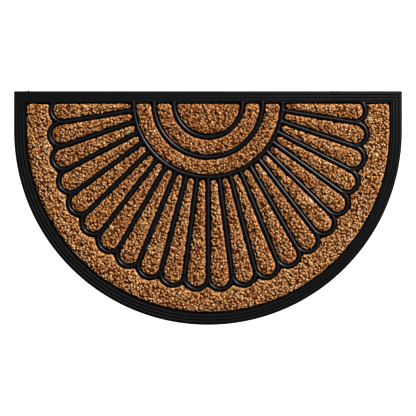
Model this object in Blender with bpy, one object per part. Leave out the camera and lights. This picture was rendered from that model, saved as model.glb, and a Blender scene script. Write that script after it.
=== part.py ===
"""A half-round doormat: coir panels set in the cells of one moulded rubber tray.

Metres, +Z up, +X along the flat edge, +Y from the round edge towards the flat edge. The origin
lies on the surface under the mat, at the middle of the mat's bounding box.

Angles turn anticlockwise from straight down the mat (-Y). A cell is the pocket that one coir
panel fills. Its outline can be drawn with an outset: 0 is the pocket's wall, a positive outset
runs outside it on the rubber, and a negative one runs inside it.
"""

from math import acos, atan2, cos, pi, radians, sin, sqrt

import bmesh
import bpy
from mathutils import Vector

# Outline: a half circle, with a short straight side above each end of it.
WIDTH = 0.762
STRAIGHT_SIDE = 0.078
CORNER_RADIUS = 0.002

# Heights above the surface that the mat lies on.
SHEET_TOP = 0.0025
WEB_TOP = 0.0050
BEAD_TOP = 0.0080
EDGE_TOP = 0.0066
GROOVE_TOP = 0.0072
RIDGE_TOP = 0.0082
COIR_TOP = 0.0100

# Border: rounded ridges that run side by side along the outline.
BORDER_WIDTH = 0.0250
RIDGES = 3
FIRST_RIDGE = 0.0049
RIDGE_PITCH = 0.0061
RIDGE_CREST = 0.0026
RIDGE_FOOT = 0.0048

# Ribs: a low web between two cells, with a raised bead along its middle.
RIB_WIDTH = 0.0107
BEAD_FOOT = 0.0078
BEAD_CREST = 0.0032

# Fan: three half-circle ribs about its centre, and straight ribs from the largest of them out
# to the valleys between the petals' round tips.
FAN_DROP = 0.0230
RING_RADII = (0.0675, 0.1070, 0.1465)
PETALS = 22
RING_STEP = radians(8.40)
TIP_STEP = radians(9.32)
TIP_RADIUS = 0.2890

# Space left between two pieces.
GAP = 0.0003

# Straight lengths in each round stretch.
OUTLINE_STEPS = 56
CORNER_STEPS = 2
RING_STEPS = (24, 32, 40)
TIP_STEPS = 10
PETAL_ROOT_STEPS = 2
VALLEY_STEPS = 7

HALF_WIDTH = WIDTH / 2
HALF_RIB = RIB_WIDTH / 2
TOP = (HALF_WIDTH + STRAIGHT_SIDE) / 2
ROUND_CENTRE = Vector((0, TOP - STRAIGHT_SIDE))
FAN_CENTRE = Vector((0, TOP - FAN_DROP))
FIRST_PETAL = -PETALS // 2
LAST_PETAL = PETALS // 2 - 1


def direction(angle):
    return Vector((sin(angle), -cos(angle)))


def angle_of(vector):
    return atan2(vector.x, -vector.y)


def arc(centre, radius, start, end, steps):
    """Points from one angle to another, both ends included."""
    turns = [start + (end - start) * i / steps for i in range(steps + 1)]
    return [centre + radius * direction(angle) for angle in turns]


def border_line(outset):
    """The height on the mat, along Y, where the flat border cuts a cell off."""
    return TOP - BORDER_WIDTH + outset


def angle_at(centre, radius, outset):
    """The angle at which a circle, going up its right side, meets the border's line."""
    return acos((centre.y - border_line(outset)) / radius)


def mat_outline(inset):
    """The mat's outline, moved inwards by the inset."""
    half, top = HALF_WIDTH - inset - CORNER_RADIUS, TOP - inset - CORNER_RADIUS
    right, left = Vector((half, top)), Vector((-half, top))
    return (
        arc(ROUND_CENTRE, HALF_WIDTH - inset, -pi / 2, pi / 2, OUTLINE_STEPS)
        + arc(right, CORNER_RADIUS, pi / 2, pi, CORNER_STEPS)
        + arc(left, CORNER_RADIUS, pi, 3 * pi / 2, CORNER_STEPS)
    )


def rib(number):
    """A straight rib's start on the largest ring, and the angle in which it runs."""
    start = FAN_CENTRE + RING_RADII[-1] * direction(number * RING_STEP)
    end = ROUND_CENTRE + TIP_RADIUS * direction(number * TIP_STEP)
    return start, angle_of(end - start)


def petal_tip(number):
    """The centre and radius of the round tip whose middle line touches both ribs' lines."""
    (start, left), (other, right) = rib(number), rib(number + 1)
    across = direction(left + pi / 2)
    reach = (other - start).dot(across) / -direction(right).dot(across)
    apex = other + reach * direction(right)
    middle = direction((left + right) / 2)
    offset = apex - ROUND_CENTRE
    along = offset.dot(middle)
    centre = apex + middle * (sqrt(along**2 - offset.length_squared + TIP_RADIUS**2) - along)
    return centre, (centre - start).dot(across)


def root_angle(number, side, outset):
    """The angle at which a petal's side, left (1) or right (-1), leaves the largest ring."""
    inset, radius = HALF_RIB - outset, RING_RADII[-1] + HALF_RIB - outset
    start, angle = rib(number)
    start = start + direction(angle + pi / 2) * inset * side - FAN_CENTRE
    along = start.dot(direction(angle))
    reach = sqrt(along**2 - start.length_squared + radius**2) - along
    return angle_of(start + direction(angle) * reach)


def half_disc_outline(outset):
    radius = RING_RADII[0] - HALF_RIB + outset
    end = angle_at(FAN_CENTRE, radius, outset)
    return arc(FAN_CENTRE, radius, -end, end, RING_STEPS[0])


def ring_outline(number, outset):
    """The cell between one half-circle rib and the next larger one."""
    inner = RING_RADII[number] + HALF_RIB - outset
    outer = RING_RADII[number + 1] - HALF_RIB + outset
    inner_end, outer_end = (angle_at(FAN_CENTRE, radius, outset) for radius in (inner, outer))
    return arc(FAN_CENTRE, outer, -outer_end, outer_end, RING_STEPS[number + 1]) + arc(
        FAN_CENTRE, inner, inner_end, -inner_end, RING_STEPS[number]
    )


def petal_outline(number, outset):
    """A petal's round tip, and then its root on the largest ring. The border cuts the end ones."""
    centre, radius = petal_tip(number)
    radius -= HALF_RIB - outset
    root_radius = RING_RADII[-1] + HALF_RIB - outset
    start, end = rib(number)[1] - pi / 2, rib(number + 1)[1] + pi / 2
    root_start, root_end = root_angle(number, 1, outset), root_angle(number + 1, -1, outset)
    if number == FIRST_PETAL:
        start = -angle_at(centre, radius, outset)
        root_start = -angle_at(FAN_CENTRE, root_radius, outset)
    if number == LAST_PETAL:
        end = angle_at(centre, radius, outset)
        root_end = angle_at(FAN_CENTRE, root_radius, outset)
    return arc(centre, radius, start, end, TIP_STEPS) + arc(
        FAN_CENTRE, root_radius, root_end, root_start, PETAL_ROOT_STEPS
    )


def valley(number, outset):
    """The point where the outer edges of two neighbouring petals' tips meet."""
    (left, left_radius), (right, right_radius) = petal_tip(number), petal_tip(number + 1)
    left_radius += HALF_RIB - outset
    right_radius += HALF_RIB - outset
    between = right - left
    along = (between.length_squared + left_radius**2 - right_radius**2) / (2 * between.length)
    out = Vector((between.y, -between.x)).normalized()
    return left + between.normalized() * along + out * sqrt(left_radius**2 - along**2)


def margin_outline(outset):
    """The cell between the border and the fan: round the border, and back round the tips."""
    edge, line = HALF_WIDTH - BORDER_WIDTH + outset, border_line(outset)
    points = arc(ROUND_CENTRE, edge, -pi / 2, pi / 2, OUTLINE_STEPS) + [Vector((edge, line))]
    for number in range(LAST_PETAL, FIRST_PETAL - 1, -1):
        centre, radius = petal_tip(number)
        radius += HALF_RIB - outset
        if number == LAST_PETAL:
            start = angle_at(centre, radius, outset)
        else:
            start = angle_of(valley(number, outset) - centre)
        if number == FIRST_PETAL:
            end = -angle_at(centre, radius, outset)
        else:
            end = angle_of(valley(number - 1, outset) - centre)
        scallop = arc(centre, radius, start, end, VALLEY_STEPS)
        points += scallop if number == FIRST_PETAL else scallop[:-1]
    return points + [Vector((-edge, line))]


def cells():
    """Each coir panel's name and the function that draws its cell with an outset."""
    named = {
        "coir_margin": margin_outline,
        "coir_half_disc": half_disc_outline,
        "coir_inner_ring": lambda outset: ring_outline(0, outset),
        "coir_outer_ring": lambda outset: ring_outline(1, outset),
    }
    for i, number in enumerate(range(FIRST_PETAL, LAST_PETAL + 1), 1):
        named[f"coir_petal_{i:02d}"] = lambda outset, number=number: petal_outline(number, outset)
    return named


def border_profile():
    """The distance from the mat's edge and the height of each line along the border."""
    profile = [(0, 0), (0, EDGE_TOP)]
    for i in range(RIDGES):
        middle = FIRST_RIDGE + i * RIDGE_PITCH
        profile += [
            (middle - RIDGE_FOOT / 2, GROOVE_TOP),
            (middle - RIDGE_CREST / 2, RIDGE_TOP),
            (middle + RIDGE_CREST / 2, RIDGE_TOP),
            (middle + RIDGE_FOOT / 2, GROOVE_TOP),
        ]
    return profile


def cell_profile():
    """The outset and the height of each line from a rib's crest down to its cell's floor."""
    return [
        ((RIB_WIDTH - BEAD_CREST) / 2, BEAD_TOP),
        ((RIB_WIDTH - BEAD_FOOT) / 2, WEB_TOP),
        (0, WEB_TOP),
        (0, SHEET_TOP),
    ]


def add_loop(mesh, outline, height):
    return [mesh.verts.new((point.x, point.y, height)) for point in outline]


def bridge(mesh, lower, upper):
    """A wall of four-sided faces between two loops with as many points."""
    for i in range(len(lower)):
        mesh.faces.new((lower[i - 1], lower[i], upper[i], upper[i - 1]))


def edges_of(mesh, loop):
    return [mesh.edges.get((loop[i - 1], loop[i])) for i in range(len(loop))]


def add_piece(name, mesh, material):
    bmesh.ops.recalc_face_normals(mesh, faces=mesh.faces)
    data = bpy.data.meshes.new(name)
    mesh.to_mesh(data)
    mesh.free()
    data.materials.append(material)
    piece = bpy.data.objects.new(name, data)
    bpy.context.collection.objects.link(piece)


def add_material(name, colour, roughness):
    material = bpy.data.materials.new(name)
    material.use_nodes = True
    shader = material.node_tree.nodes["Principled BSDF"]
    shader.inputs["Base Color"].default_value = (*colour, 1)
    shader.inputs["Roughness"].default_value = roughness
    shader.inputs["Metallic"].default_value = 0
    return material


def add_tray(outlines):
    """The rubber moulding: ridged border, beads and webs around the cells, and flat underside."""
    mesh = bmesh.new()
    border = [add_loop(mesh, mat_outline(inset), height) for inset, height in border_profile()]
    mesh.faces.new(border[0])
    for lower, upper in zip(border, border[1:]):
        bridge(mesh, lower, upper)
    crests = edges_of(mesh, border[-1])
    for outline in outlines:
        walls = [add_loop(mesh, outline(outset), height) for outset, height in cell_profile()]
        for upper, lower in zip(walls, walls[1:]):
            bridge(mesh, lower, upper)
        mesh.faces.new(walls[-1])
        crests += edges_of(mesh, walls[0])
    bmesh.ops.triangle_fill(mesh, edges=crests, use_beauty=True)
    add_piece("rubber_tray", mesh, add_material("rubber", (0.008, 0.008, 0.009), 0.5))


def add_panel(name, outline):
    """A coir panel, standing clear of its cell's floor and walls by the gap."""
    mesh = bmesh.new()
    lower = add_loop(mesh, outline(-GAP), SHEET_TOP + GAP)
    upper = add_loop(mesh, outline(-GAP), COIR_TOP)
    mesh.faces.new(lower)
    mesh.faces.new(upper)
    bridge(mesh, lower, upper)
    add_piece(name, mesh, add_material(name, (0.275, 0.112, 0.038), 0.95))


def main():
    for item in list(bpy.data.objects):
        bpy.data.objects.remove(item)
    named = cells()
    add_tray(named.values())
    for name, outline in named.items():
        add_panel(name, outline)


main()
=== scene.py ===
import math
import random

import bpy
import bmesh
import numpy as np
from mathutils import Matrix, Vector, noise
from mathutils.bvhtree import BVHTree


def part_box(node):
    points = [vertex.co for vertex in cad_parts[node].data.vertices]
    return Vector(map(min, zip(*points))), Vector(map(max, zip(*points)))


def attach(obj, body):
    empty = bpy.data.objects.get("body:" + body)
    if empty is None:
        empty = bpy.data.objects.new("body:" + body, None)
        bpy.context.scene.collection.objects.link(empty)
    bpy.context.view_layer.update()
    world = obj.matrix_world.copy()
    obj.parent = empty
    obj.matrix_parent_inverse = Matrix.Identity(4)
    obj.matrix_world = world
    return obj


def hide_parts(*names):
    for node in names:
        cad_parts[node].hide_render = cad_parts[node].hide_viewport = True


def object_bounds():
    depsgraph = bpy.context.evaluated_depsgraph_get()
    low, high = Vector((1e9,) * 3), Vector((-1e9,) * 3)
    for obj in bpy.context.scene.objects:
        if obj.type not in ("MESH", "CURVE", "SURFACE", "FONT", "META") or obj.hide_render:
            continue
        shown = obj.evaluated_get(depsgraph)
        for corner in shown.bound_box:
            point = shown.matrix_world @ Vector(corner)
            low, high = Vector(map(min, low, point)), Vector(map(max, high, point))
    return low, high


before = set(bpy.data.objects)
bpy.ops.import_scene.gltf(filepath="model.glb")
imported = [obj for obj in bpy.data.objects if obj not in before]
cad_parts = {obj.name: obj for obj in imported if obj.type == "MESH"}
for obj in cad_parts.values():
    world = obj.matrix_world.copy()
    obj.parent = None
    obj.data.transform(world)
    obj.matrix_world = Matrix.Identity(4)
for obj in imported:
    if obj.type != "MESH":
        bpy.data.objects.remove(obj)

cad_low, cad_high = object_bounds()

# ---------------------------------------------------------------------------------------------
# Camera. It hangs straight above the middle of the mat and looks down through a long lens, so
# that the half circle keeps its true shape and the flat edge lies along the top of the picture.
MAT_WIDTH = cad_high[0] - cad_low[0]
PICTURE_TO_MAT = 1.0705
PICTURE_WIDTH = PICTURE_TO_MAT * MAT_WIDTH
LENS_MM = 100
SENSOR_MM = 36

camera_data = bpy.data.cameras.new("camera")
camera_data.lens = LENS_MM
camera_data.sensor_width = SENSOR_MM
camera_data.clip_end = 20
camera = bpy.data.objects.new("camera", camera_data)
bpy.context.collection.objects.link(camera)
camera.location = (0, 0, cad_high[2] + PICTURE_WIDTH * LENS_MM / SENSOR_MM)
bpy.context.scene.camera = camera

# ---------------------------------------------------------------------------------------------
# Studio. A pale floor, one soft key light from the upper right, and a room that is pale near the
# horizon and dim overhead. The colours are shown through the standard view with a high-contrast
# look.
KEY_AZIMUTH = math.radians(45)
KEY_HEIGHT = math.radians(30)
KEY_DISTANCE = 10.0
KEY_SIZE = 1.25
KEY_WATTS = 3500
ROOM_PALE = 0.80
ROOM_DIM = 0.12
ROOM_FADE = (0.10, 0.60)
FLOOR_SIZE = 12
FLOOR_GAP = 0.0002
FLOOR_GREY = 0.10
FLOOR_GLOW = 0.88

bpy.context.scene.view_settings.view_transform = "Standard"
bpy.context.scene.view_settings.look = "High Contrast"

key_data = bpy.data.lights.new("key_light", "AREA")
key_data.shape = "DISK"
key_data.size = KEY_SIZE
key_data.energy = KEY_WATTS
key_light = bpy.data.objects.new("key_light", key_data)
key_light.location = KEY_DISTANCE * Vector(
    (
        math.cos(KEY_HEIGHT) * math.cos(KEY_AZIMUTH),
        math.cos(KEY_HEIGHT) * math.sin(KEY_AZIMUTH),
        math.sin(KEY_HEIGHT),
    )
)
key_light.rotation_euler = key_light.location.to_track_quat("Z", "Y").to_euler()
bpy.context.collection.objects.link(key_light)

room = bpy.data.worlds.new("room")
bpy.context.scene.world = room
room.use_nodes = True
sky = room.node_tree.nodes.new("ShaderNodeTexCoord")
upward = room.node_tree.nodes.new("ShaderNodeSeparateXYZ")
fade = room.node_tree.nodes.new("ShaderNodeMapRange")
fade.inputs["From Min"].default_value = ROOM_FADE[0]
fade.inputs["From Max"].default_value = ROOM_FADE[1]
fade.inputs["To Min"].default_value = ROOM_PALE
fade.inputs["To Max"].default_value = ROOM_DIM
room.node_tree.links.new(sky.outputs["Generated"], upward.inputs["Vector"])
room.node_tree.links.new(upward.outputs["Z"], fade.inputs["Value"])
background = room.node_tree.nodes["Background"]
background.inputs["Color"].default_value = (1, 1, 1, 1)
room.node_tree.links.new(fade.outputs["Result"], background.inputs["Strength"])

bpy.ops.object.select_all(action="DESELECT")
bpy.ops.mesh.primitive_plane_add(size=FLOOR_SIZE, location=(0, 0, cad_low[2] - FLOOR_GAP))
floor = bpy.context.object
floor.name = "floor"
floor_material = bpy.data.materials.new("floor_paper")
floor_material.use_nodes = True
floor_shader = floor_material.node_tree.nodes["Principled BSDF"]
floor_shader.inputs["Base Color"].default_value = (FLOOR_GREY, FLOOR_GREY, FLOOR_GREY, 1)
floor_shader.inputs["Roughness"].default_value = 1.0
floor_shader.inputs["Specular IOR Level"].default_value = 0.0
floor_shader.inputs["Emission Color"].default_value = (1, 1, 1, 1)
floor_shader.inputs["Emission Strength"].default_value = FLOOR_GLOW
floor.data.materials.append(floor_material)

# ---------------------------------------------------------------------------------------------
# Rubber tray. One black moulding carries the whole mat: a thin sheet, a ridged border and the
# ribs of the fan, each with a rounded bead along its middle. The cells are sunk into it.
HALF_WIDTH = MAT_WIDTH / 2
TOP_EDGE = cad_high[1]
STRAIGHT_SIDE = TOP_EDGE - cad_low[1] - HALF_WIDTH
ROUND_CENTRE = Vector((0, TOP_EDGE - STRAIGHT_SIDE, 0))
OUTLINE_STEPS = 240
CORNER_RADIUS = 0.002
CORNER_STEPS = 5
CORNER_MERGE = 0.0005
WEB_TOP = 0.0050
EDGE_TOP = 0.0066
GROOVE_TOP = 0.0072
LIP = ((0.0004, 0.0071), (0.0018, GROOVE_TOP))
RIDGE_TOP = 0.0082
RIDGES = 3
FIRST_RIDGE = 0.0049
RIDGE_PITCH = 0.0061
RIDGE_HALF = 0.0029
RIDGE_STEPS = 8
BAND_TOP = 0.0074
BAND = (0.0206, 0.0222)
BAND_ROUND = 0.0004
BAND_SLOPE = 0.0001

BEAD_HALF = 0.0039
BEAD_HEIGHT = 0.0032
FAN_DROP = 0.0230
FAN_CENTRE = Vector((0, TOP_EDGE - FAN_DROP, 0))
RING_RADII = (0.0675, 0.1070, 0.1465)
PETALS = 22
RING_STEP = math.radians(8.40)
TIP_STEP = math.radians(9.32)
TIP_RADIUS = 0.2890


def edit(action="DESELECT"):
    """Opens the active piece in edit mode, with all of it selected or none."""
    bpy.ops.object.mode_set(mode="EDIT")
    bpy.ops.mesh.select_all(action=action)


def finish_edit():
    """Closes edit mode."""
    bpy.ops.object.mode_set(mode="OBJECT")


def direction(angle):
    """A unit vector at an angle that turns anticlockwise from straight down the mat."""
    return Vector((math.sin(angle), -math.cos(angle), 0))


def angle_of(vector):
    """The angle for which direction() gives the way of a vector."""
    return math.atan2(vector.x, -vector.y)


def border_section():
    """The border's section from its lip inwards: distance from the edge, and height."""
    section = list(LIP)
    for ridge in range(RIDGES):
        middle = FIRST_RIDGE + ridge * RIDGE_PITCH
        for step in range(RIDGE_STEPS + 1):
            across = 2 * step / RIDGE_STEPS - 1
            bulge = (1 + math.cos(math.pi * across)) / 2
            section.append(
                (middle + across * RIDGE_HALF, GROOVE_TOP + (RIDGE_TOP - GROOVE_TOP) * bulge)
            )
    section += [(BAND[0], BAND_TOP), (BAND[1] - BAND_ROUND, BAND_TOP)]
    section += [(BAND[1] - BAND_SLOPE, BAND_TOP - BAND_ROUND), (BAND[1], WEB_TOP)]
    return section


bpy.ops.object.select_all(action="DESELECT")
bpy.ops.mesh.primitive_circle_add(
    vertices=OUTLINE_STEPS, radius=HALF_WIDTH, fill_type="NGON", location=ROUND_CENTRE
)
tray = bpy.context.object
tray.name = "rubber_moulding"
bpy.ops.object.transform_apply(location=True, rotation=True, scale=True)
edit("SELECT")
bpy.ops.mesh.bisect(plane_co=ROUND_CENTRE, plane_no=(0, 1, 0), clear_outer=True)
bpy.ops.mesh.extrude_edges_move(TRANSFORM_OT_translate={"value": (0, STRAIGHT_SIDE, 0)})
bpy.ops.mesh.bevel(offset=CORNER_RADIUS, segments=CORNER_STEPS, affect="VERTICES")
bpy.ops.mesh.select_all(action="SELECT")
bpy.ops.mesh.dissolve_faces()
bpy.ops.mesh.normals_make_consistent(inside=False)
bpy.ops.mesh.extrude_region_move(TRANSFORM_OT_translate={"value": (0, 0, EDGE_TOP)})
inwards, height = 0, EDGE_TOP
for distance, top in border_section():
    bpy.ops.mesh.inset(thickness=distance - inwards, depth=top - height)
    inwards, height = distance, top
    if (distance, top) == LIP[-1]:
        bpy.ops.mesh.remove_doubles(threshold=CORNER_MERGE)
finish_edit()


def rib(number):
    """A straight rib's start on the largest ring, and the angle in which it runs."""
    start = FAN_CENTRE + RING_RADII[-1] * direction(number * RING_STEP)
    end = ROUND_CENTRE + TIP_RADIUS * direction(number * TIP_STEP)
    return start, angle_of(end - start)


def petal_tip(number):
    """The centre and radius of the round tip whose middle line touches both ribs' lines."""
    (start, left), (other, right) = rib(number), rib(number + 1)
    across = direction(left + math.pi / 2)
    reach = (other - start).dot(across) / -direction(right).dot(across)
    apex = other + reach * direction(right)
    middle = direction((left + right) / 2)
    offset = apex - ROUND_CENTRE
    along = offset.dot(middle)
    far = math.sqrt(along**2 - offset.length_squared + TIP_RADIUS**2) - along
    centre = apex + middle * far
    return centre, (centre - start).dot(across), middle


def flatten_bead():
    """Presses the round bead just added down to its real height above the web."""
    bpy.ops.object.transform_apply(location=True, rotation=True, scale=True)
    edit("SELECT")
    bpy.ops.transform.resize(
        value=(1, 1, BEAD_HEIGHT / BEAD_HALF), center_override=(0, 0, WEB_TOP)
    )
    finish_edit()
    beads.append(bpy.context.object)


def trim_bead(place, away):
    """Cuts the bead just added at a plane and closes its end."""
    edit("SELECT")
    bpy.ops.mesh.bisect(plane_co=place, plane_no=away, clear_outer=True, use_fill=True)
    finish_edit()


# Each kind of bead is a hair slimmer than the one it runs into, so that no faces coincide.
BEAD_LINE = Vector((0, TOP_EDGE - BAND[0], 0))
RIB_BEAD = 0.985 * BEAD_HALF
TIP_BEAD = 0.970 * BEAD_HALF
TIP_OVERLAP = 0.0030
# Loops across a rib's bead, by their distance from its two ends.
BEAD_LOOPS = (0.005, 0.010, 0.018, 0.040)
BEAD_SIDES = 20
RING_STEPS = 144
TIP_STEPS = 56
beads = []

for radius in RING_RADII:
    bpy.ops.mesh.primitive_torus_add(
        location=FAN_CENTRE + Vector((0, 0, WEB_TOP)),
        major_radius=radius,
        minor_radius=BEAD_HALF,
        major_segments=RING_STEPS,
        minor_segments=BEAD_SIDES,
    )
    flatten_bead()
    trim_bead(BEAD_LINE, (0, 1, 0))

for number in range(1 - PETALS // 2, PETALS // 2):
    start, angle = rib(number)
    run = direction(angle)
    reach = max((petal_tip(side)[0] - start).dot(run) for side in (number - 1, number))
    bpy.ops.mesh.primitive_cylinder_add(
        vertices=BEAD_SIDES,
        radius=RIB_BEAD,
        depth=reach,
        location=start + run * reach / 2 + Vector((0, 0, WEB_TOP)),
        rotation=(math.pi / 2, 0, angle),
    )
    edit()
    for inset in BEAD_LOOPS:
        for place in (start + run * inset, start + run * (reach - inset)):
            bpy.ops.mesh.select_all(action="SELECT")
            bpy.ops.mesh.bisect(plane_co=place, plane_no=run)
    finish_edit()
    flatten_bead()

for number in range(-PETALS // 2, PETALS // 2):
    centre, radius, middle = petal_tip(number)
    bpy.ops.mesh.primitive_torus_add(
        location=centre + Vector((0, 0, WEB_TOP)),
        major_radius=radius,
        minor_radius=TIP_BEAD,
        major_segments=TIP_STEPS,
        minor_segments=BEAD_SIDES,
    )
    flatten_bead()
    trim_bead(centre - middle * TIP_OVERLAP, -middle)
    trim_bead(BEAD_LINE, (0, 1, 0))


def carve(piece, others, operation):
    """Joins a set of closed pieces to a piece, or cuts them out of it, and clears them away."""
    group = bpy.data.collections.new("carving")
    for other in others:
        group.objects.link(other)
    modifier = piece.modifiers.new("carve", "BOOLEAN")
    modifier.operation = operation
    modifier.operand_type = "COLLECTION"
    modifier.collection = group
    modifier.solver = "MANIFOLD"
    bpy.context.view_layer.objects.active = piece
    bpy.ops.object.modifier_apply(modifier=modifier.name)
    for other in others:
        bpy.data.objects.remove(other)
    bpy.data.collections.remove(group)


carve(tray, beads, "UNION")

COIR_NODES = [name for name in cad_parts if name.startswith("coir_")]
CELL_GAP = 0.0003
SAME_PLACE = 0.00002


def copy_of(node, name):
    """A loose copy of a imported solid, merged into one closed mesh and made the active object."""
    bpy.ops.object.select_all(action="DESELECT")
    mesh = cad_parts[node].data.copy()
    mesh.materials.clear()
    copy = bpy.data.objects.new(name, mesh)
    bpy.context.collection.objects.link(copy)
    bpy.context.view_layer.objects.active = copy
    copy.select_set(True)
    edit("SELECT")
    bpy.ops.mesh.remove_doubles(threshold=SAME_PLACE)
    finish_edit()
    return copy


cutters = []
for node in COIR_NODES:
    cutters.append(copy_of(node, "cell_cutter"))
    edit("SELECT")
    bpy.ops.transform.shrink_fatten(value=CELL_GAP, use_even_offset=True)
    finish_edit()
carve(tray, cutters, "DIFFERENCE")

# Moulding marks on the flat edge: place along it, width, and how far each stands out.
FLASH_NIB = (-0.3530, 0.0026, 0.0016)
EDGE_BUMPS = ((0.2460, 0.0022, 0.0007), (0.2560, 0.0022, 0.0007))
NIB_LIFT = 0.0004
NIB_TRIM = 0.0012
NIB_ROUND = 0.3
SHARPEST_SMOOTH = math.radians(38)
nibs = []
for place, width, reach in (FLASH_NIB, *EDGE_BUMPS):
    bpy.ops.mesh.primitive_cube_add(size=1, location=(place, TOP_EDGE, EDGE_TOP / 2 + NIB_LIFT))
    bpy.ops.transform.resize(value=(width, 2 * reach, EDGE_TOP - NIB_TRIM))
    bpy.ops.object.transform_apply(location=True, rotation=True, scale=True)
    edit("SELECT")
    bpy.ops.mesh.bevel(offset=NIB_ROUND * width, segments=2)
    finish_edit()
    nibs.append(bpy.context.object)
carve(tray, nibs, "UNION")
bpy.ops.object.select_all(action="DESELECT")
tray.select_set(True)
bpy.ops.object.shade_smooth_by_angle(angle=SHARPEST_SMOOTH)


def new_material(name):
    """A material with an empty Principled surface: its nodes, its links and its shader."""
    material = bpy.data.materials.new(name)
    material.use_nodes = True
    nodes = material.node_tree.nodes
    return material, nodes, material.node_tree.links, nodes["Principled BSDF"]


def add_node(nodes, kind, **values):
    """A shader node with its properties, and its inputs by their names, set."""
    node = nodes.new(kind)
    for name, value in values.items():
        if name in node.inputs:
            node.inputs[name].default_value = value
        else:
            setattr(node, name, value)
    return node


def add_ramp(nodes, links, source, *stops):
    """A colour ramp on a value, its stops given as position and grey or colour."""
    ramp = nodes.new("ShaderNodeValToRGB")
    while len(ramp.color_ramp.elements) < len(stops):
        ramp.color_ramp.elements.new(0.5)
    for element, (position, colour) in zip(ramp.color_ramp.elements, stops):
        element.position = position
        element.color = (*colour, 1) if isinstance(colour, tuple) else (colour,) * 3 + (1,)
    links.new(source, ramp.inputs["Fac"])
    return ramp.outputs["Color"]


CLEAN_BLACKS = ((0.30, (0.0010, 0.0011, 0.0014)), (0.70, (0.0022, 0.0024, 0.0030)))
SCUFFED_BLACK = (0.0070, 0.0076, 0.0088, 1)
FRESH_ROUGHNESS = ((0.25, 0.28), (0.75, 0.38))
SCUFFED_ROUGHNESS = ((0.25, 0.38), (0.75, 0.51))
BORDER_ROUGHNESS = ((0.25, 0.70), (0.75, 0.82))
RUBBER_GLOSS = 0.17
WORN = (0.0060, 0.0080)


def rubber_material():
    """Black moulded rubber: satin and bluish black, greyer where scuffed, dull on the border."""
    material, nodes, links, shader = new_material("moulded_rubber")
    place = nodes.new("ShaderNodeTexCoord").outputs["Object"]
    worn = add_node(nodes, "ShaderNodeAttribute", attribute_name="worn")
    cloud = add_node(nodes, "ShaderNodeTexNoise", Scale=38.0, Detail=5.0, Roughness=0.6)
    links.new(place, cloud.inputs["Vector"])
    clean = add_ramp(nodes, links, cloud.outputs["Fac"], *CLEAN_BLACKS)
    rubbed = add_node(nodes, "ShaderNodeMix", data_type="RGBA")
    links.new(worn.outputs["Fac"], rubbed.inputs["Factor"])
    links.new(clean, rubbed.inputs["A"])
    rubbed.inputs["B"].default_value = SCUFFED_BLACK
    links.new(rubbed.outputs["Result"], shader.inputs["Base Color"])
    scuffs = add_node(nodes, "ShaderNodeTexNoise", Scale=210.0, Detail=4.0, Roughness=0.65)
    links.new(place, scuffs.inputs["Vector"])
    fresh = add_ramp(nodes, links, scuffs.outputs["Fac"], *FRESH_ROUGHNESS)
    scuffed = add_ramp(nodes, links, scuffs.outputs["Fac"], *SCUFFED_ROUGHNESS)
    satin = add_node(nodes, "ShaderNodeMix", data_type="RGBA")
    links.new(worn.outputs["Fac"], satin.inputs["Factor"])
    links.new(fresh, satin.inputs["A"])
    links.new(scuffed, satin.inputs["B"])
    border = add_node(nodes, "ShaderNodeAttribute", attribute_name="border")
    dull = add_ramp(nodes, links, scuffs.outputs["Fac"], *BORDER_ROUGHNESS)
    finish = add_node(nodes, "ShaderNodeMix", data_type="RGBA")
    links.new(border.outputs["Fac"], finish.inputs["Factor"])
    links.new(satin.outputs["Result"], finish.inputs["A"])
    links.new(dull, finish.inputs["B"])
    links.new(finish.outputs["Result"], shader.inputs["Roughness"])
    shader.inputs["Specular IOR Level"].default_value = RUBBER_GLOSS
    grain = add_node(nodes, "ShaderNodeTexNoise", Scale=1500.0, Detail=3.0)
    links.new(place, grain.inputs["Vector"])
    bump = add_node(nodes, "ShaderNodeBump", Strength=0.25, Distance=0.00010)
    links.new(grain.outputs["Fac"], bump.inputs["Height"])
    links.new(bump.outputs["Normal"], shader.inputs["Normal"])
    return material


def mark_finish():
    """Marks the border, which is moulded dull, and how far shoes have scuffed the beads' crests."""
    border, worn = [], []
    for vertex in tray.data.vertices:
        place = vertex.co - ROUND_CENTRE
        across = place.xy.length if place.y < 0 else abs(place.x)
        from_edge = min(HALF_WIDTH - across, TOP_EDGE - vertex.co.y)
        crest = min(1, max(0, (place.z - WORN[0]) / (WORN[1] - WORN[0])))
        on_border = from_edge < BAND[1]
        border.append(1.0 if on_border else 0.0)
        worn.append(0.0 if on_border else crest)
    for label, values in (("border", border), ("worn", worn)):
        tray.data.attributes.new(label, "FLOAT", "POINT").data.foreach_set("value", values)


mark_finish()
tray.data.materials.clear()
tray.data.materials.append(rubber_material())
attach(tray, "root")
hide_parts("rubber_tray")

# ---------------------------------------------------------------------------------------------
# Coir beds. Each cell is filled with coconut fibre pressed into the rubber while it is moulded.
# The bed is the dark, matted mass under the pile, with painted shade lower down. Its rims are
# rounded and its top is lumpy.
BED_TOP = 0.0086
BED_VOXEL = 0.0024
RIM_FALL = 0.0030
RIM_REACH = 0.0032
BED_FOOT = WEB_TOP + 0.001
LUMP_SIZE = 0.0075
LUMP_HEIGHT = 0.0024
MAT_PATCH = 0.0050
MAT_STREAKS = (250, 1600, 400)
PATCH_APART = (40, 40, 40)
PATCH_DOME = (0.8, 0.6)
PATCH_SHARE = 0.35
SECOND_LAYER = (0.31, 0.17, 0.05)
BED_BROWNS = (
    (0.30, (0.014, 0.003, 0.0004)),
    (0.46, (0.040, 0.009, 0.001)),
    (0.60, (0.095, 0.030, 0.006)),
    (0.78, (0.190, 0.082, 0.024)),
)
# Painted shade on the bed: the heights over which its colour darkens, and the share of its colour
# left at the bottom.
BED_PAINTED_SHADE = (0.0050, 0.0080)
DEEPEST_PAINTED_SHADE = 0.15
BED_THINNING = math.radians(1.5)


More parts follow.
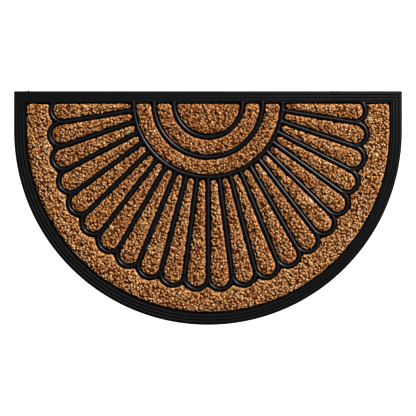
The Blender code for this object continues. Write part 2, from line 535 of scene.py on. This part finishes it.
def apply_modifier(piece, kind, **settings):
    """Gives a piece a modifier with these settings and applies it."""
    modifier = piece.modifiers.new(kind.lower(), kind)
    for name, value in settings.items():
        setattr(modifier, name, value)
    bpy.context.view_layer.objects.active = piece
    bpy.ops.object.modifier_apply(modifier=modifier.name)


def matted_layer(nodes, links, place, shift):
    """Fibres lying side by side in small patches, each turned its own way: height and tone."""
    moved = add_node(nodes, "ShaderNodeVectorMath", operation="ADD")
    links.new(place, moved.inputs[0])
    moved.inputs[1].default_value = shift
    patches = add_node(nodes, "ShaderNodeTexVoronoi", Scale=1 / MAT_PATCH)
    links.new(moved.outputs["Vector"], patches.inputs["Vector"])
    local = add_node(nodes, "ShaderNodeVectorMath", operation="SUBTRACT")
    links.new(moved.outputs["Vector"], local.inputs[0])
    links.new(patches.outputs["Position"], local.inputs[1])
    pick = nodes.new("ShaderNodeSeparateColor")
    links.new(patches.outputs["Color"], pick.inputs["Color"])
    angle = add_node(nodes, "ShaderNodeMath", operation="MULTIPLY")
    links.new(pick.outputs["Red"], angle.inputs[0])
    angle.inputs[1].default_value = math.pi
    turned = add_node(nodes, "ShaderNodeVectorRotate", rotation_type="Z_AXIS")
    links.new(local.outputs["Vector"], turned.inputs["Vector"])
    links.new(angle.outputs["Value"], turned.inputs["Angle"])
    drawn = add_node(nodes, "ShaderNodeVectorMath", operation="MULTIPLY")
    links.new(turned.outputs["Vector"], drawn.inputs[0])
    drawn.inputs[1].default_value = MAT_STREAKS
    apart = add_node(nodes, "ShaderNodeVectorMath", operation="MULTIPLY_ADD")
    links.new(patches.outputs["Color"], apart.inputs[0])
    apart.inputs[1].default_value = PATCH_APART
    links.new(drawn.outputs["Vector"], apart.inputs[2])
    strands = add_node(nodes, "ShaderNodeTexNoise", Scale=1.0, Detail=2.0)
    links.new(apart.outputs["Vector"], strands.inputs["Vector"])
    dome = add_node(
        nodes,
        "ShaderNodeMapRange",
        **{"From Max": PATCH_DOME[0], "To Min": PATCH_DOME[1], "To Max": 0.0},
    )
    links.new(patches.outputs["Distance"], dome.inputs["Value"])
    height = add_node(nodes, "ShaderNodeMath", operation="ADD")
    links.new(dome.outputs["Result"], height.inputs[0])
    links.new(strands.outputs["Fac"], height.inputs[1])
    tone = add_node(nodes, "ShaderNodeMix", Factor=PATCH_SHARE)
    links.new(strands.outputs["Fac"], tone.inputs["A"])
    links.new(pick.outputs["Green"], tone.inputs["B"])
    return height.outputs["Value"], tone.outputs["Result"]


def bed_material():
    """Matted coir under the pile: red-brown fibres every way, with painted shade that darkens it
    down the sides.
    """
    material, nodes, links, shader = new_material("matted_coir")
    place = nodes.new("ShaderNodeTexCoord").outputs["Object"]
    first, first_tone = matted_layer(nodes, links, place, (0, 0, 0))
    second, second_tone = matted_layer(nodes, links, place, SECOND_LAYER)
    above = add_node(nodes, "ShaderNodeMath", operation="GREATER_THAN")
    links.new(second, above.inputs[0])
    links.new(first, above.inputs[1])
    tone = add_node(nodes, "ShaderNodeMix")
    links.new(above.outputs["Value"], tone.inputs["Factor"])
    links.new(first_tone, tone.inputs["A"])
    links.new(second_tone, tone.inputs["B"])
    brown = add_ramp(nodes, links, tone.outputs["Result"], *BED_BROWNS)
    rise = nodes.new("ShaderNodeSeparateXYZ")
    links.new(place, rise.inputs["Vector"])
    # Painted shade: the lower the bed's surface lies, the darker its colour.
    depth = nodes.new("ShaderNodeMapRange")
    depth.inputs["From Min"].default_value = BED_PAINTED_SHADE[0]
    depth.inputs["From Max"].default_value = BED_PAINTED_SHADE[1]
    depth.inputs["To Min"].default_value = DEEPEST_PAINTED_SHADE
    depth.inputs["To Max"].default_value = 1.0
    links.new(rise.outputs["Z"], depth.inputs["Value"])
    bed_with_painted_shade = add_node(nodes, "ShaderNodeVectorMath", operation="SCALE")
    links.new(brown, bed_with_painted_shade.inputs[0])
    links.new(depth.outputs["Result"], bed_with_painted_shade.inputs["Scale"])
    links.new(bed_with_painted_shade.outputs["Vector"], shader.inputs["Base Color"])
    shader.inputs["Roughness"].default_value = 0.80
    shader.inputs["Specular IOR Level"].default_value = 0.10
    top = add_node(nodes, "ShaderNodeMath", operation="MAXIMUM")
    links.new(first, top.inputs[0])
    links.new(second, top.inputs[1])
    bump = add_node(nodes, "ShaderNodeBump", Strength=1.0, Distance=0.0012)
    links.new(top.outputs["Value"], bump.inputs["Height"])
    links.new(bump.outputs["Normal"], shader.inputs["Normal"])
    return material


lumps = bpy.data.textures.new("lumps", "CLOUDS")
lumps.noise_scale = LUMP_SIZE
lumps.noise_depth = 2
matted_coir = bed_material()


def faces_up(face):
    """Whether a face of a panel's solid is part of its top."""
    return face.normal.z > 0.5


def stands_up(face):
    """Whether a face of a panel's solid is part of its walls."""
    return abs(face.normal.z) < 0.5


def rim_edges(panel):
    """The edges round a panel's top: both ends of each, and the way out of the cell there."""
    solid = bmesh.new()
    solid.from_mesh(panel.data)
    edges = []
    for edge in solid.edges:
        top, side = sorted(edge.link_faces, key=lambda face: -face.normal.z)
        if faces_up(top) and stands_up(side):
            first, second = edge.verts
            edges.append((first.co.copy(), second.co.copy(), side.normal.copy()))
    solid.free()
    return edges


def coir_bed(node, name):
    """Remeshes a panel's solid finely, domes it towards its rims and makes its top lumpy."""
    bed = copy_of(node, name)
    low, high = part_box(node)
    for vertex in bed.data.vertices:
        if vertex.co.z > (low.z + high.z) / 2:
            vertex.co.z = BED_TOP
    rim = rim_edges(bed)
    walls = [face for face in bed.data.polygons if stands_up(face)]
    wall = BVHTree.FromPolygons(
        [vertex.co for vertex in bed.data.vertices], [tuple(face.vertices) for face in walls]
    )
    apply_modifier(bed, "REMESH", mode="VOXEL", voxel_size=BED_VOXEL)
    apply_modifier(bed, "SMOOTH", factor=0.5, iterations=5)
    for vertex in bed.data.vertices:
        if vertex.co.z > BED_FOOT:
            vertex.co.z -= RIM_FALL * math.exp(-wall.find_nearest(vertex.co)[3] / RIM_REACH)
    bed.vertex_groups.new(name="top")
    top = [vertex.index for vertex in bed.data.vertices if vertex.co.z > BED_FOOT]
    bed.vertex_groups["top"].add(top, 1.0, "REPLACE")
    apply_modifier(
        bed,
        "DISPLACE",
        texture=lumps,
        texture_coords="LOCAL",
        direction="Z",
        strength=2 * LUMP_HEIGHT,
        mid_level=0.5,
        vertex_group="top",
    )
    bed.vertex_groups.clear()
    apply_modifier(bed, "DECIMATE", decimate_type="DISSOLVE", angle_limit=BED_THINNING)
    apply_modifier(bed, "TRIANGULATE")
    bpy.ops.object.shade_smooth()
    bed.data.materials.clear()
    bed.data.materials.append(matted_coir)
    return bed, rim


# ---------------------------------------------------------------------------------------------
# Coir pile. Curled locks of stiff coconut fibre lie every way all over each bed and hide most of
# it, and more locks lie along its rims. A fibre is a slim strand with both ends in the bed.
LOCK_SPACING = 0.0053
LOCK_JITTER = 0.45
BARE_SPOTS = 0.08
LOCK_FIBRES = 8
FIBRE_PITCH = 0.00056
FIBRE_SHIFT = 0.0009
FIBRE_LENGTH = (0.0060, 0.0095)
LENGTH_SPREAD = (0.85, 1.1)
FIBRE_HALF = (0.00028, 0.00042)
FIBRE_FLATNESS = 0.7
FIBRE_FANNING = 0.10
LOCK_CURL = (0.2, 1.0)
LOCK_LIFT = (0.0004, 0.0022)
LOCK_ROUND = 0.0004
END_DEPTH = 0.0008
PILE_TONE = 0.50
PANEL_TONES = {
    "coir_margin": 0.53,
    "coir_half_disc": 0.42,
    "coir_inner_ring": 0.45,
    "coir_outer_ring": 0.47,
}
TONE_DRIFT = 0.08
DRIFT_SCALE = 30
LOCK_TONES = 0.08
FIBRE_TONES = 0.07
OVERHANG = 0.0017
RIM_SPACING = 0.0042
RIM_INSET = (0.0006, 0.0018)
RIM_LIFT = (0.0002, 0.0012)
# Painted shade: the locks along the rims are given a darker tone than the rest of the pile.
RIM_PAINTED_SHADE = -0.10
FIBRE_STATIONS = (-0.5, -0.18, 0.18, 0.5)
FIBRE_SIDES = 3
HEADING_TRIES = 10
DOWN = Vector((0, 0, -1))
WELL_ABOVE = 0.05
MAP_GAP = 0.08
SEED = 11
STRAW_TONES = (
    (0.00, (0.088, 0.012, 0.001)),
    (0.25, (0.230, 0.074, 0.012)),
    (0.60, (0.440, 0.256, 0.109)),
    (1.00, (0.615, 0.525, 0.400)),
)
# Painted shade at the fibres' ends, set by how high each corner stands along its strand's arch.
ROOT_PAINTED_SHADE = ((0.0, (0.28, 0.13, 0.06)), (0.9, 1.0))
STREAK_SHADE = ((0.25, 0.72), (0.75, 1.0))


def fibre_points(surface, place, heading, length, curl, lift, half, roll):
    """A fibre's corners from end to end, or None where it would reach out of its cell."""
    along = direction(heading)
    across = direction(heading + math.pi / 2)
    line = []
    for station in FIBRE_STATIONS:
        turn = curl * station
        spot = place + length / curl * (math.sin(turn) * along + (1 - math.cos(turn)) * across)
        ground = surface.ray_cast(Vector((spot.x, spot.y, WELL_ABOVE)), DOWN)[0]
        if ground is None:
            return None
        arch = 1 - (2 * station) ** 2
        rise = lift * arch - END_DEPTH * (1 - arch) - OVERHANG
        line.append(Vector((spot.x, spot.y, ground.z + rise)))
    corners = [line[0]]
    for before, middle, after in zip(line, line[1:], line[2:]):
        run = (after - before).normalized()
        side = run.cross(DOWN).normalized()
        up = side.cross(run)
        for corner in range(FIBRE_SIDES):
            angle = roll + corner * math.tau / FIBRE_SIDES
            outward = math.cos(angle) * side + FIBRE_FLATNESS * math.sin(angle) * up
            corners.append(middle + half * outward)
    corners.append(line[-1])
    return corners


def pile_material():
    """Coconut fibre: straw to red-brown strands, with painted shade darkening them where they go
    down into the bed.
    """
    material, nodes, links, shader = new_material("coir_fibre")
    tone = add_node(nodes, "ShaderNodeAttribute", attribute_name="tone")
    straw = add_ramp(nodes, links, tone.outputs["Fac"], *STRAW_TONES)
    # Painted shade: strands are darkened towards their ends, where they dip into the bed.
    depth = add_node(nodes, "ShaderNodeAttribute", attribute_name="rise")
    painted_end_shade = add_ramp(nodes, links, depth.outputs["Fac"], *ROOT_PAINTED_SHADE)
    fibre_with_painted_shade = add_node(nodes, "ShaderNodeMix", data_type="RGBA", blend_type="MULTIPLY")
    fibre_with_painted_shade.inputs["Factor"].default_value = 1
    links.new(straw, fibre_with_painted_shade.inputs["A"])
    links.new(painted_end_shade, fibre_with_painted_shade.inputs["B"])
    place = nodes.new("ShaderNodeTexCoord").outputs["Object"]
    streaks = add_node(nodes, "ShaderNodeTexNoise", Scale=2600.0, Detail=3.0)
    links.new(place, streaks.inputs["Vector"])
    grain = add_ramp(nodes, links, streaks.outputs["Fac"], *STREAK_SHADE)
    grained = add_node(nodes, "ShaderNodeMix", data_type="RGBA", blend_type="MULTIPLY")
    grained.inputs["Factor"].default_value = 1
    links.new(fibre_with_painted_shade.outputs["Result"], grained.inputs["A"])
    links.new(grain, grained.inputs["B"])
    links.new(grained.outputs["Result"], shader.inputs["Base Color"])
    shader.inputs["Roughness"].default_value = 0.50
    shader.inputs["Specular IOR Level"].default_value = 0.35
    return material


def strand_faces():
    """The faces of one strand's corners, and the same faces laid out flat in a unit square."""
    rings = len(FIBRE_STATIONS) - 2
    start, end = FIBRE_STATIONS[0], FIBRE_STATIONS[-1]
    level = [(station - start) / (end - start) for station in FIBRE_STATIONS]
    faces, layout = [], []
    for side in range(FIBRE_SIDES):
        after = (side + 1) % FIBRE_SIDES
        left, right = side / FIBRE_SIDES, (side + 1) / FIBRE_SIDES
        middle = (left + right) / 2
        faces.append((0, 1 + side, 1 + after))
        layout.append(((0, middle), (level[1], left), (level[1], right)))
        for ring in range(rings - 1):
            low, high = 1 + ring * FIBRE_SIDES, 1 + (ring + 1) * FIBRE_SIDES
            near, far = level[ring + 1], level[ring + 2]
            faces.append((low + side, high + side, high + after, low + after))
            layout.append(((near, left), (far, left), (far, right), (near, right)))
        last = 1 + (rings - 1) * FIBRE_SIDES
        faces.append((last + FIBRE_SIDES, last + after, last + side))
        layout.append(((1, middle), (level[-2], right), (level[-2], left)))
    return faces, layout


STRAND_FACES, STRAND_LAYOUT = strand_faces()
# How high each corner stands along its strand's arch, which sets the painted shade at the fibres'
# ends.
STRAND_RISE = [0.0]
for station in FIBRE_STATIONS[1:-1]:
    STRAND_RISE += [1 - (2 * station) ** 2] * FIBRE_SIDES
STRAND_RISE.append(0.0)


def strands_mesh(name, strands, tones):
    """One mesh of many strands, with each one's tone, its rise and its own patch of the map."""
    per_strand = len(STRAND_RISE)
    corners = [corner for strand in strands for corner in strand]
    faces = [
        tuple(number * per_strand + corner for corner in face)
        for number in range(len(strands))
        for face in STRAND_FACES
    ]
    mesh = bpy.data.meshes.new(name)
    mesh.from_pydata(corners, [], faces)
    for label, values in (
        ("tone", np.repeat(tones, per_strand)),
        ("rise", np.tile(STRAND_RISE, len(strands))),
    ):
        mesh.attributes.new(label, "FLOAT", "POINT").data.foreach_set("value", values)
    patches = math.ceil(math.sqrt(len(strands)))
    pattern = np.array([spot for face in STRAND_LAYOUT for spot in face])
    number = np.arange(len(strands))
    origin = np.stack([number % patches, number // patches], axis=1)
    inside = MAP_GAP + (1 - 2 * MAP_GAP) * pattern
    places = (origin[:, None, :] + inside[None, :, :]) / patches
    mesh.uv_layers.new(name="OFBake").data.foreach_set("uv", places.ravel())
    mesh.shade_smooth()
    return mesh


def lock_places(low, high, chance):
    """Points in rows like bricks over a box, each a little out of line."""
    row_height = LOCK_SPACING * math.sqrt(3) / 2
    for row in range(math.ceil((high.y - low.y) / row_height)):
        start = low.x + (row % 2) * LOCK_SPACING / 2
        for column in range(math.ceil((high.x - low.x) / LOCK_SPACING)):
            shift = Vector((chance.uniform(-1, 1), chance.uniform(-1, 1), 0))
            corner = Vector((start + column * LOCK_SPACING, low.y + row * row_height, 0))
            yield corner + shift * (LOCK_JITTER * LOCK_SPACING)


def rim_places(rim, chance):
    """Points just inside a panel's rim, each with the way in which the rim runs there."""
    for first, second, out in rim:
        run = second - first
        count = math.ceil(run.length / RIM_SPACING)
        for place in range(count):
            spot = first + run * (place + chance.random()) / count
            yield spot - out * chance.uniform(*RIM_INSET), angle_of(run)


def grow_lock(surface, spot, heading, lift, chance):
    """A lock's fibres side by side, without those that would reach out of the cell."""
    curl = chance.choice((-1, 1)) * chance.uniform(*LOCK_CURL)
    length = chance.uniform(*FIBRE_LENGTH)
    middle = (LOCK_FIBRES - 1) / 2
    fibres = []
    for fibre in range(LOCK_FIBRES):
        aside = (fibre - middle) * FIBRE_PITCH * direction(heading + math.pi / 2)
        ahead = chance.uniform(-1, 1) * FIBRE_SHIFT * direction(heading)
        fibres.append(
            fibre_points(
                surface,
                spot + aside + ahead,
                heading + chance.gauss(0, FIBRE_FANNING),
                length * chance.uniform(*LENGTH_SPREAD),
                curl,
                lift + LOCK_ROUND * (1 - abs(fibre - middle)),
                chance.uniform(*FIBRE_HALF),
                chance.uniform(0, math.tau),
            )
        )
    return [fibre for fibre in fibres if fibre]


def plant_pile(bed, rim, node, chance):
    """Plants locks every way all over a bed, and then along its rim: corners and tones.

    The ground that they are planted on is the bed's surface moved out by OVERHANG, and each fibre
    is lowered by as much, so that the locks at the rims lean out over the webs.
    """
    surface = BVHTree.FromPolygons(
        [vertex.co + OVERHANG * vertex.normal for vertex in bed.data.vertices],
        [tuple(face.vertices) for face in bed.data.polygons],
    )
    tone = PANEL_TONES.get(node, PILE_TONE)
    locks = []
    for spot in lock_places(*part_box(node), chance):
        if chance.random() < BARE_SPOTS:
            continue
        for _ in range(HEADING_TRIES):
            heading, lift = chance.uniform(0, math.tau), chance.uniform(*LOCK_LIFT)
            fibres = grow_lock(surface, spot, heading, lift, chance)
            if len(fibres) >= LOCK_FIBRES - 1:
                break
        locks.append((spot, tone, fibres))
    for spot, heading in rim_places(rim, chance):
        fibres = grow_lock(surface, spot, heading, chance.uniform(*RIM_LIFT), chance)
        # Rim locks take a darker tone, which is painted shade along the rims next to the ribs.
        locks.append((spot, tone + RIM_PAINTED_SHADE, fibres))
    strands = []
    for spot, middle, fibres in locks:
        drift = TONE_DRIFT * noise.noise(spot * DRIFT_SCALE)
        lock_tone = chance.gauss(middle + drift, LOCK_TONES)
        for fibre in fibres:
            strands.append((fibre, min(1, max(0, chance.gauss(lock_tone, FIBRE_TONES)))))
    return strands


def coir_pile(name, strands):
    """Joins planted fibres into one piece."""
    corners, tones = zip(*strands)
    pile = bpy.data.objects.new(name, strands_mesh(name, corners, tones))
    bpy.context.collection.objects.link(pile)
    pile.data.materials.append(coir_fibre)
    return pile


RIB_WIDTH = 0.0107
STRIP_WIDTHS = {
    "coir_margin": 0.0420,
    "coir_inner_ring": RING_RADII[1] - RING_RADII[0] - RIB_WIDTH,
    "coir_outer_ring": RING_RADII[2] - RING_RADII[1] - RIB_WIDTH,
}


def flat_size(node):
    """A panel's flat width and length, with a curved strip unrolled, and its flat area."""
    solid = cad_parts[node].data
    area = sum(face.area for face in solid.polygons if faces_up(face))
    if node in STRIP_WIDTHS:
        return (STRIP_WIDTHS[node], area / STRIP_WIDTHS[node]), area
    way = direction(0)
    if node.startswith("coir_petal_"):
        way = petal_tip(int(node[-2:]) - 1 - PETALS // 2)[2]
    spans = []
    for axis in (Vector((-way.y, way.x, 0)), way):
        reaches = [vertex.co.dot(axis) for vertex in solid.vertices]
        spans.append(max(reaches) - min(reaches))
    return spans, area


coir_fibre = pile_material()
chance = random.Random(SEED)
for node in COIR_NODES:
    panel = node.removeprefix("coir_")
    bed, rim = coir_bed(node, "bed_" + panel)
    strands = plant_pile(bed, rim, node, chance)
    if node == "coir_margin":
        left = [strand for strand in strands if strand[0][0].x < 0]
        right = [strand for strand in strands if strand[0][0].x >= 0]
        piles = [coir_pile("pile_margin_left", left), coir_pile("pile_margin_right", right)]
    else:
        piles = [coir_pile("pile_" + panel, strands)]
    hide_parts(node)
    for piece in (bed, *piles):
        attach(piece, "root")
    flat, area = flat_size(node)
